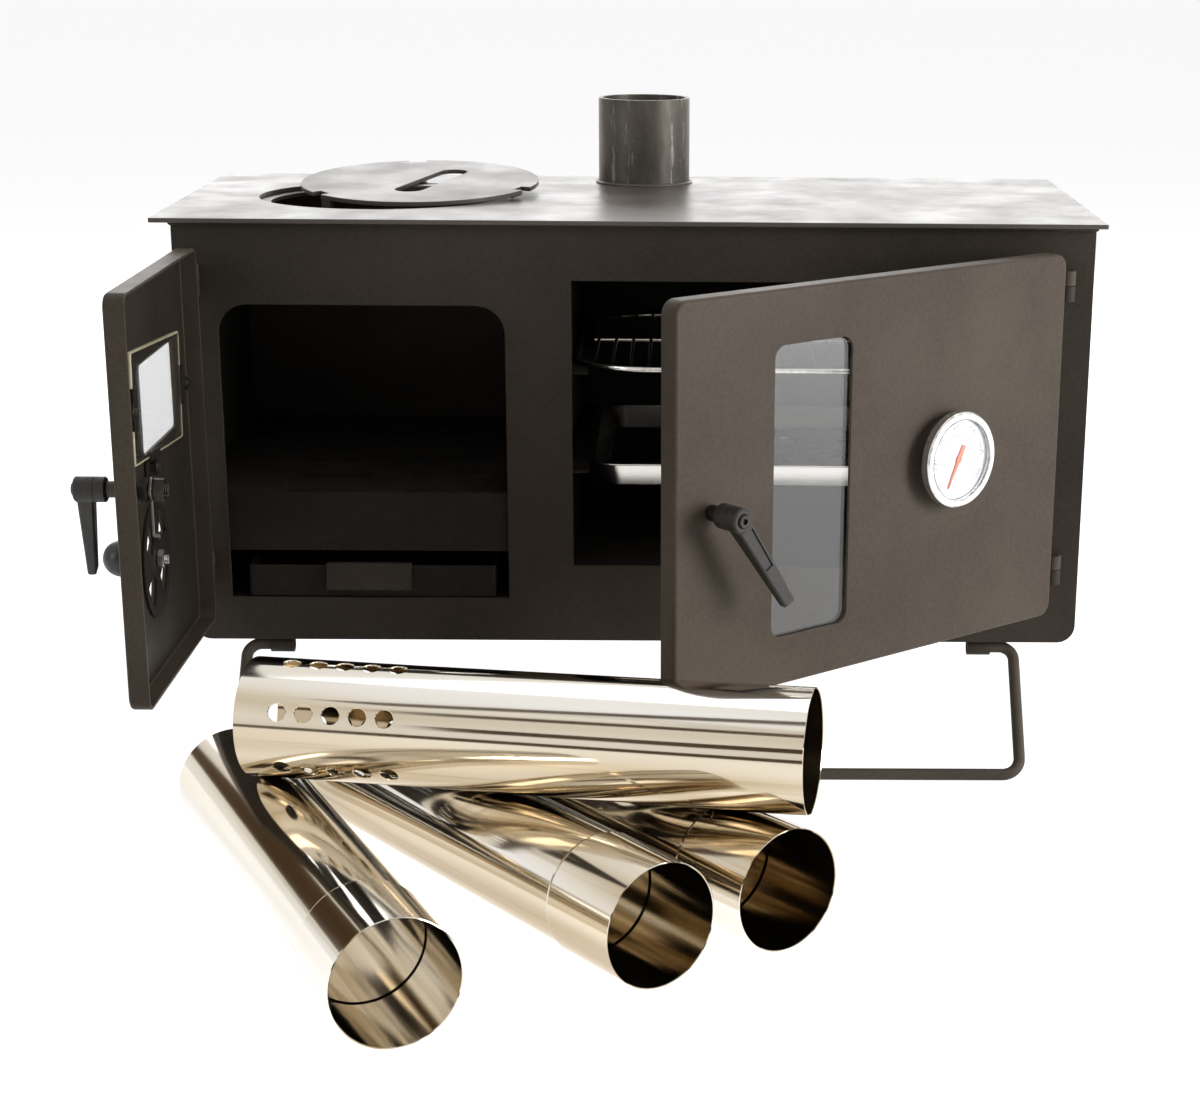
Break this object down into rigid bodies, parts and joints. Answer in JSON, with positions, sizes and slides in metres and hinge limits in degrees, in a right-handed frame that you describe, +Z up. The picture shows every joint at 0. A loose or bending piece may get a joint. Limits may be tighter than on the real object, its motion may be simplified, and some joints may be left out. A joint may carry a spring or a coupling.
{
  "type": "tent stove",
  "caption": "Steel tent stove with a glazed firebox door, a side oven with a glazed door and thermometer, a round hob lid, a flue collar, folding legs and loose flue sections.",
  "frame": {"origin": "centre of the whole object's footprint, at floor level, under the folding legs and the loose flue sections", "axes": "+X to the right of someone who faces the doors, +Y away from them towards the back, +Z up"},
  "size_m": [0.6344, 0.8094, 0.4258],
  "materials": {
    "body_paint": "satin heat-resistant paint, dark warm grey",
    "plate_paint": "satin heat-resistant paint, a little paler where it catches light",
    "inner_paint": "matt dark paint",
    "collar_steel": "bare rolled steel with scuffs",
    "amber_edge_glass": "clear heat-resistant glass with a pale amber edge",
    "lever_zinc": "dark coated die casting, fine texture",
    "zinc_plate": "zinc-plated steel",
    "knob_plastic": "black heat-resistant moulding",
    "clear_glass": "clear heat-resistant glass",
    "bright_steel": "bright stainless steel",
    "dial_face": "brushed dial",
    "needle_paint": "orange-red paint",
    "flue_steel": "polished stainless steel"
  },
  "bodies": {
    "stove": {"front_plate": "body_paint", "back_plate": "body_paint", "body_wrap": "body_paint", "top_plate": "plate_paint", "hob_ledge": "inner_paint", "flue_collar": "collar_steel", "fire_floor": "inner_paint", "fire_partition": "inner_paint", "fire_grate": "inner_paint", "oven_liner": "inner_paint", "fire_hinge_lower": "body_paint", "oven_hinge_lower": "body_paint", "fire_hinge_upper": "body_paint", "oven_hinge_upper": "body_paint", "leg_eye_front_left": "body_paint", "leg_eye_front_right": "body_paint", "leg_eye_rear_left": "body_paint", "leg_eye_rear_right": "body_paint"},
    "fire_door": {"fire_door_pan": "body_paint", "fire_door_glass": "amber_edge_glass", "fire_glass_clip_hinge": "inner_paint", "fire_glass_clip_free": "inner_paint", "fire_glass_clip_low": "inner_paint"},
    "fire_latch": {"fire_lever": "lever_zinc", "fire_lever_screw": "zinc_plate", "fire_spindle": "zinc_plate", "fire_latch_tongue": "zinc_plate", "fire_latch_nut": "zinc_plate"},
    "air_control": {"air_disc": "inner_paint", "air_knob": "knob_plastic", "air_bolt": "zinc_plate"},
    "oven_door": {"oven_door_pan": "body_paint", "oven_door_glass": "clear_glass", "oven_glass_clip_hinge_low": "inner_paint", "oven_glass_clip_hinge_high": "inner_paint", "oven_glass_clip_free_low": "inner_paint", "oven_glass_clip_free_high": "inner_paint", "thermometer_case": "bright_steel", "thermometer_dial": "dial_face", "thermometer_lens": "clear_glass", "thermometer_nut": "zinc_plate"},
    "needle": {"thermometer_needle": "needle_paint"},
    "oven_latch": {"oven_lever": "lever_zinc", "oven_lever_screw": "zinc_plate", "oven_spindle": "zinc_plate", "oven_latch_tongue": "zinc_plate", "oven_latch_nut": "zinc_plate"},
    "ash_drawer": {"ash_tray": "inner_paint", "ash_tray_handle": "body_paint"},
    "lid": {"hob_lid": "plate_paint", "hob_lid_bar": "plate_paint"},
    "rack": {"oven_rack": "bright_steel"},
    "tray": {"baking_tray": "bright_steel"},
    "leg_front": {"front_leg": "body_paint"},
    "leg_rear": {"rear_leg": "body_paint"},
    "flue_left": {"flue_section_left": "flue_steel"},
    "flue_middle": {"flue_section_middle": "flue_steel"},
    "flue_right": {"flue_section_right": "flue_steel"},
    "flue_perforated": {"flue_section_perforated": "flue_steel"}
  },
  "joints": [
    {"name": "fire_door_hinge", "type": "hinge", "parent": "stove", "child": "fire_door", "pos_m": [-0.27783, 0.06967, 0.08008], "axis": [0, 0, 1], "range_deg": [-80, 90.5]},
    {"name": "fire_latch_turn", "type": "hinge", "parent": "fire_door", "child": "fire_latch", "pos_m": [-0.2861, -0.12226, 0.23008], "axis": [-1, 0.0087, 0], "range_deg": [0, 50]},
    {"name": "air_control_turn", "type": "hinge", "parent": "fire_door", "child": "air_control", "pos_m": [-0.28556, -0.06027, 0.17208], "axis": [-1, 0.0087, 0], "range_deg": [0, 45]},
    {"name": "oven_door_hinge", "type": "hinge", "parent": "stove", "child": "oven_door", "pos_m": [0.29217, 0.06967, 0.08008], "axis": [0, 0, -1], "range_deg": [-4, 40.6]},
    {"name": "oven_latch_turn", "type": "hinge", "parent": "oven_door", "child": "oven_latch", "pos_m": [0.05881, -0.13903, 0.22208], "axis": [-0.6508, 0.7593, 0], "range_deg": [0, 50]},
    {"name": "needle_turn", "type": "hinge", "parent": "oven_door", "child": "needle", "pos_m": [0.20945, -0.00992, 0.22828], "axis": [-0.6508, 0.7593, 0], "range_deg": [-5, 290]},
    {"name": "ash_tray_slide", "type": "slide", "parent": "stove", "child": "ash_drawer", "axis": [0, 1, 0], "range_m": [-0.15, 0]},
    {"name": "hob_lid_lift", "type": "slide", "parent": "stove", "child": "lid", "axis": [0, 0, 1], "range_m": [0, 0.12]},
    {"name": "oven_rack_slide", "type": "slide", "parent": "stove", "child": "rack", "axis": [0, 1, 0], "range_m": [-0.008, 0.005]},
    {"name": "baking_tray_slide", "type": "slide", "parent": "stove", "child": "tray", "axis": [0, 1, 0], "range_m": [-0.008, 0.006]},
    {"name": "front_leg_fold", "type": "hinge", "parent": "stove", "child": "leg_front", "pos_m": [0.00717, 0.08567, 0.07428], "axis": [1, 0, 0], "range_deg": [0, 130]},
    {"name": "rear_leg_fold", "type": "hinge", "parent": "stove", "child": "leg_rear", "pos_m": [0.00717, 0.33567, 0.07428], "axis": [-1, 0, 0], "range_deg": [0, 130]},
    {"name": "flue_left_slide", "type": "slide", "parent": "stove", "child": "flue_left", "axis": [0.4067, -0.9135, 0], "range_m": [0, 0.1]},
    {"name": "flue_middle_slide", "type": "slide", "parent": "stove", "child": "flue_middle", "axis": [0.6046, -0.7965, 0], "range_m": [0, 0.1]},
    {"name": "flue_right_slide", "type": "slide", "parent": "stove", "child": "flue_right", "axis": [0.632, -0.7749, 0], "range_m": [0, 0.1]},
    {"name": "flue_perforated_lift", "type": "slide", "parent": "stove", "child": "flue_perforated", "axis": [0, 0, 1], "range_m": [0, 0.1]}
  ]
}
